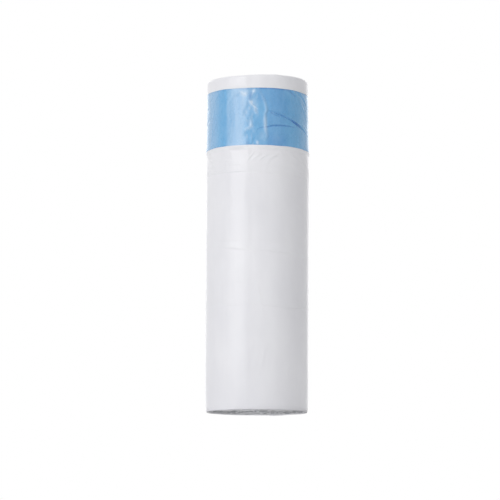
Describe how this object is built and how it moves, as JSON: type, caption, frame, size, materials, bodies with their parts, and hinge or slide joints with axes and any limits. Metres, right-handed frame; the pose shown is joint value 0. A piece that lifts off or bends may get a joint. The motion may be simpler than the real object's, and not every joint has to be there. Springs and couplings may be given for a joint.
{
  "type": "litter box liner roll",
  "caption": "Upright coreless roll of thin white film liners, wound in a spiral, with a blue drawstring tape round its upper end.",
  "frame": {"origin": "centre of the roll's lower end, on the surface it stands on", "axes": "+Z along the roll's axis towards the end with the drawstring tape, -Y is the front with the free edge, +X is the right seen from the front"},
  "size_m": [0.0468, 0.0466, 0.15],
  "materials": {
    "liner_film": "thin white polyethylene film, satin and slightly see-through",
    "drawstring_film": "blue polyethylene tape, hazy under the hem's film"
  },
  "bodies": {
    "root": {"liner_film_roll": "liner_film", "drawstring_tape": "drawstring_film"}
  },
  "joints": []
}
